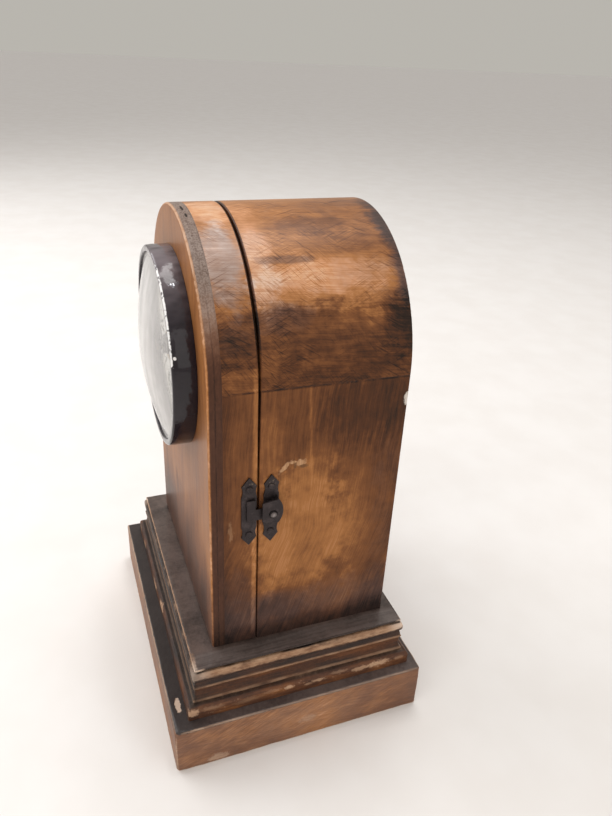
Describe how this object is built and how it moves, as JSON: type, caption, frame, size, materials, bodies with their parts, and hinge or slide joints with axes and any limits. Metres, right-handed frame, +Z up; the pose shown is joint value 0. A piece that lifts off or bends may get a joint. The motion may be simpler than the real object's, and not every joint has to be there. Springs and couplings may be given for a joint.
{
  "type": "arch-top mantel clock",
  "caption": "Round-topped wooden mantel clock on a moulded plinth, with a hinged front that carries the dial and a quartz movement, and a side latch.",
  "frame": {"origin": "middle of the plinth's underside", "axes": "+Z up, front with the dial towards -Y, latch on the +X side"},
  "size_m": [0.16, 0.125, 0.2425],
  "materials": {
    "stained_wood": "stained and waxed, blotchy",
    "dark_wood": "dark stain with worn edges",
    "bronzed_steel": "dark lacquered pressed steel",
    "bright_steel": "bright",
    "brass": "plain turned brass",
    "black_gloss": "glossy black",
    "clear_lens": "clear and domed",
    "white_dial": "white enamel",
    "black_metal": "satin black",
    "movement_plastic": "fine texture",
    "wheel_plastic": "natural acetal",
    "rubber": "black",
    "circuit": "solder mask",
    "copper": "enamelled copper wire",
    "cell_sleeve": "printed sleeve, plain"
  },
  "bodies": {
    "case": {"base_slab": "dark_wood", "plinth_moulding": "dark_wood", "base_screws": "bright_steel", "case_floor": "stained_wood", "case_side_left": "stained_wood", "case_side_right": "stained_wood", "case_arch": "stained_wood", "case_back": "stained_wood", "hinge_case_leaf_lower": "brass", "hinge_case_leaf_upper": "brass", "hinge_pin_lower": "brass", "hinge_pin_upper": "brass", "hinge_case_screws": "brass", "latch_base_plate": "bronzed_steel", "latch_rivet": "bright_steel", "latch_case_nails": "bronzed_steel"},
    "door": {"door_front_panel": "stained_wood", "door_stile_left": "stained_wood", "door_stile_right": "stained_wood", "door_arch": "stained_wood", "door_bottom_rail": "stained_wood", "hinge_door_leaf_lower": "brass", "hinge_door_leaf_upper": "brass", "hinge_door_screws": "brass", "latch_catch_plate": "bronzed_steel", "latch_door_nails": "bronzed_steel", "dial_pan": "white_dial", "dial": "white_dial", "bezel": "black_gloss", "lens": "clear_lens", "movement_housing": "movement_plastic", "movement_cover": "movement_plastic", "movement_gasket": "rubber", "fixing_washer": "brass", "fixing_nut": "brass", "train_bridge": "movement_plastic", "bridge_screws": "bright_steel", "circuit_board": "circuit", "quartz_crystal": "bright_steel", "drive_coil": "copper", "stator": "bright_steel", "battery": "cell_sleeve", "battery_contact_positive": "bright_steel", "battery_contact_negative": "bright_steel"},
    "latch_lever_body": {"latch_lever": "bronzed_steel"},
    "motion_wheel_body": {"motion_wheel": "wheel_plastic"},
    "setting_knob_body": {"setting_knob": "wheel_plastic"},
    "third_wheel_body": {"third_wheel": "wheel_plastic"},
    "centre_wheel_body": {"centre_wheel": "wheel_plastic"},
    "intermediate_wheel_body": {"intermediate_wheel": "wheel_plastic"},
    "rotor_body": {"rotor": "wheel_plastic"},
    "minute_work": {"minute_hand": "black_metal", "cannon_pinion": "wheel_plastic"},
    "hour_work": {"hour_hand": "black_metal", "hour_wheel": "wheel_plastic"},
    "seconds_work": {"second_hand": "black_metal", "seconds_wheel": "wheel_plastic"}
  },
  "joints": [
    {"name": "door_hinge", "type": "hinge", "parent": "case", "child": "door", "pos_m": [-0.0618, -0.019, 0.1175], "axis": [0, 0, -1], "range_deg": [0, 175]},
    {"name": "latch_pivot", "type": "hinge", "parent": "case", "child": "latch_lever_body", "pos_m": [0.0615, -0.0134, 0.1267], "axis": [-1, 0, 0], "range_deg": [-20, 70]},
    {"name": "minute_turn", "type": "hinge", "parent": "door", "child": "minute_work", "pos_m": [0, -0.0315, 0.181], "axis": [0, 1, 0], "continuous": true},
    {"name": "hour_turn", "type": "hinge", "parent": "door", "child": "hour_work", "pos_m": [0, -0.0315, 0.181], "axis": [0, 1, 0], "continuous": true},
    {"name": "motion_turn", "type": "hinge", "parent": "door", "child": "motion_wheel_body", "pos_m": [-0.00835, -0.0315, 0.18324], "axis": [0, 1, 0], "continuous": true},
    {"name": "setting_turn", "type": "hinge", "parent": "door", "child": "setting_knob_body", "pos_m": [-0.01634, -0.0315, 0.18538], "axis": [0, 1, 0], "continuous": true},
    {"name": "seconds_turn", "type": "hinge", "parent": "door", "child": "seconds_work", "pos_m": [0, -0.0315, 0.181], "axis": [0, 1, 0], "continuous": true},
    {"name": "third_turn", "type": "hinge", "parent": "door", "child": "third_wheel_body", "pos_m": [0.00779, -0.0315, 0.1855], "axis": [0, 1, 0], "continuous": true},
    {"name": "centre_turn", "type": "hinge", "parent": "door", "child": "centre_wheel_body", "pos_m": [0, -0.0315, 0.181], "axis": [0, 1, 0], "continuous": true},
    {"name": "intermediate_turn", "type": "hinge", "parent": "door", "child": "intermediate_wheel_body", "pos_m": [-0.00235, -0.0315, 0.18979], "axis": [0, 1, 0], "continuous": true},
    {"name": "rotor_turn", "type": "hinge", "parent": "door", "child": "rotor_body", "pos_m": [0.00011, -0.0315, 0.19656], "axis": [0, 1, 0], "continuous": true}
  ],
  "couplings": [
    {"joint": "motion_turn", "follows": "minute_turn", "ratio": -0.33333},
    {"joint": "hour_turn", "follows": "minute_turn", "ratio": 0.083333},
    {"joint": "setting_turn", "follows": "minute_turn", "ratio": 1.2},
    {"joint": "intermediate_turn", "follows": "seconds_turn", "ratio": -6},
    {"joint": "rotor_turn", "follows": "seconds_turn", "ratio": 30},
    {"joint": "third_turn", "follows": "seconds_turn", "ratio": -0.13333},
    {"joint": "centre_turn", "follows": "seconds_turn", "ratio": 0.016667}
  ]
}
